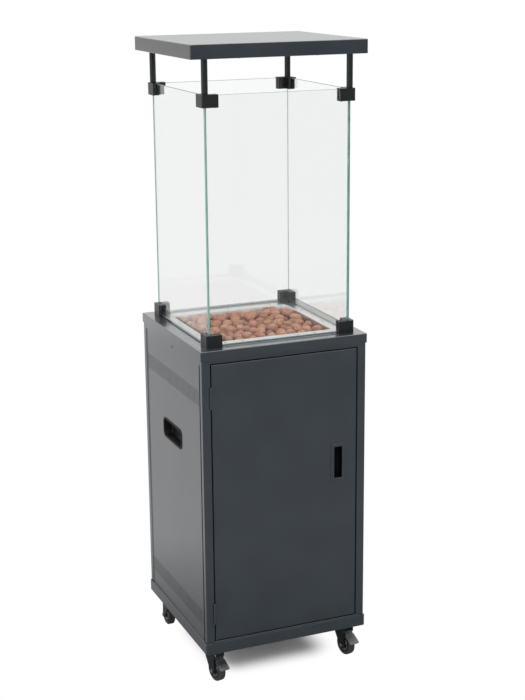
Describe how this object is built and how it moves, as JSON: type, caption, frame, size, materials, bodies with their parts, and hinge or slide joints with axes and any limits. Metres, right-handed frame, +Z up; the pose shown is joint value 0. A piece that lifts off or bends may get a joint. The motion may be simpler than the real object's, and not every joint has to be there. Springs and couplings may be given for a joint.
{
  "type": "gas patio heater",
  "caption": "Square gas patio heater: sheet-steel cabinet on casters with a door, stone-filled burner tray, glass flame chamber and a flat canopy on corner posts.",
  "frame": {"origin": "on the floor, at the middle of the heater's footprint", "axes": "+Z up along the tall axis, -Y out of the door, +X to the right as seen from the front"},
  "size_m": [0.408, 0.403, 1.4522],
  "materials": {
    "anthracite": "satin anthracite powder coat",
    "black_paint": "satin black paint",
    "black_plastic": "matt black moulded plastic",
    "stainless": "bright brushed stainless sheet",
    "zinc": "zinc-plated steel",
    "brass": "plain brass",
    "lava": "porous terracotta-coloured lava rock",
    "clear_glass": "clear tempered glass",
    "tyre": "black rubber tread"
  },
  "bodies": {
    "cabinet": {"base_pan": "anthracite", "front_frame": "anthracite", "back_panel": "anthracite", "left_side_panel": "anthracite", "right_side_panel": "anthracite", "left_handle_cup": "black_plastic", "right_handle_cup": "black_plastic", "left_panel_screw": "zinc", "right_panel_screw": "zinc", "lid": "anthracite", "lower_hinge_frame_barrel": "anthracite", "upper_hinge_frame_barrel": "anthracite", "magnet_catch": "black_plastic", "burner_tray": "stainless", "stone_grate": "stainless", "lava_stones": "lava", "ring_burner": "stainless", "pilot_assembly": "stainless", "control_panel": "zinc", "gas_valve": "brass", "igniter_body": "black_plastic", "gas_pipe": "zinc", "glass_front": "clear_glass", "glass_back": "clear_glass", "glass_left": "clear_glass", "glass_right": "clear_glass", "lower_clamp_front_left": "black_paint", "lower_clamp_front_right": "black_paint", "lower_clamp_back_right": "black_paint", "lower_clamp_back_left": "black_paint", "upper_clamp_front_left": "black_paint", "upper_clamp_front_right": "black_paint", "upper_clamp_back_right": "black_paint", "upper_clamp_back_left": "black_paint", "post_front_left": "black_paint", "post_front_right": "black_paint", "post_back_right": "black_paint", "post_back_left": "black_paint", "canopy_shell": "anthracite", "canopy_heat_plate": "stainless", "caster_plate_front_left": "zinc", "caster_plate_front_right": "zinc", "caster_plate_back_right": "zinc", "caster_plate_back_left": "zinc"},
    "door": {"door_panel": "anthracite", "door_pull": "anthracite", "lower_hinge_door_barrel": "anthracite", "upper_hinge_door_barrel": "anthracite"},
    "knob": {"control_knob": "black_plastic"},
    "button": {"igniter_button": "black_plastic"},
    "swivel_front_left": {"caster_fork_front_left": "black_paint"},
    "swivel_front_right": {"caster_fork_front_right": "black_paint"},
    "swivel_back_right": {"caster_fork_back_right": "black_paint"},
    "swivel_back_left": {"caster_fork_back_left": "black_paint"},
    "wheel_front_left": {"caster_wheel_front_left": "tyre"},
    "wheel_front_right": {"caster_wheel_front_right": "tyre"},
    "wheel_back_right": {"caster_wheel_back_right": "tyre"},
    "wheel_back_left": {"caster_wheel_back_left": "tyre"},
    "brake_front_left": {"caster_brake_front_left": "zinc"},
    "brake_front_right": {"caster_brake_front_right": "zinc"}
  },
  "joints": [
    {"name": "door_hinge", "type": "hinge", "parent": "cabinet", "child": "door", "pos_m": [-0.17825, -0.1995, 0.4395], "axis": [0, 0, -1], "range_deg": [0, 170]},
    {"name": "knob_turn", "type": "hinge", "parent": "cabinet", "child": "knob", "pos_m": [-0.05, -0.15, 0.703], "axis": [0, -1, 0], "range_deg": [0, 180]},
    {"name": "button_press", "type": "slide", "parent": "cabinet", "child": "button", "axis": [0, 1, 0], "range_m": [0, 0.005], "stiffness_N_per_m": 300, "springref_m": -0.002},
    {"name": "swivel_turn_front_left", "type": "hinge", "parent": "cabinet", "child": "swivel_front_left", "pos_m": [-0.166, -0.146, 0.072], "axis": [0, 0, 1], "continuous": true},
    {"name": "swivel_turn_front_right", "type": "hinge", "parent": "cabinet", "child": "swivel_front_right", "pos_m": [0.166, -0.146, 0.072], "axis": [0, 0, 1], "continuous": true},
    {"name": "swivel_turn_back_right", "type": "hinge", "parent": "cabinet", "child": "swivel_back_right", "pos_m": [0.166, 0.146, 0.072], "axis": [0, 0, 1], "continuous": true},
    {"name": "swivel_turn_back_left", "type": "hinge", "parent": "cabinet", "child": "swivel_back_left", "pos_m": [-0.166, 0.146, 0.072], "axis": [0, 0, 1], "continuous": true},
    {"name": "wheel_spin_front_left", "type": "hinge", "parent": "swivel_front_left", "child": "wheel_front_left", "pos_m": [-0.16226, -0.16361, 0.026], "axis": [0.9781, 0.2079, 0], "continuous": true},
    {"name": "wheel_spin_front_right", "type": "hinge", "parent": "swivel_front_right", "child": "wheel_front_right", "pos_m": [0.16974, -0.16361, 0.026], "axis": [0.9781, 0.2079, 0], "continuous": true},
    {"name": "wheel_spin_back_right", "type": "hinge", "parent": "swivel_back_right", "child": "wheel_back_right", "pos_m": [0.166, 0.164, 0.026], "axis": [1, 0, 0], "continuous": true},
    {"name": "wheel_spin_back_left", "type": "hinge", "parent": "swivel_back_left", "child": "wheel_back_left", "pos_m": [-0.166, 0.164, 0.026], "axis": [1, 0, 0], "continuous": true},
    {"name": "brake_press_front_left", "type": "hinge", "parent": "swivel_front_left", "child": "brake_front_left", "pos_m": [-0.1607, -0.17094, 0.06], "axis": [0.9781, 0.2079, 0], "range_deg": [0, 8]},
    {"name": "brake_press_front_right", "type": "hinge", "parent": "swivel_front_right", "child": "brake_front_right", "pos_m": [0.1713, -0.17094, 0.06], "axis": [0.9781, 0.2079, 0], "range_deg": [0, 8]}
  ]
}
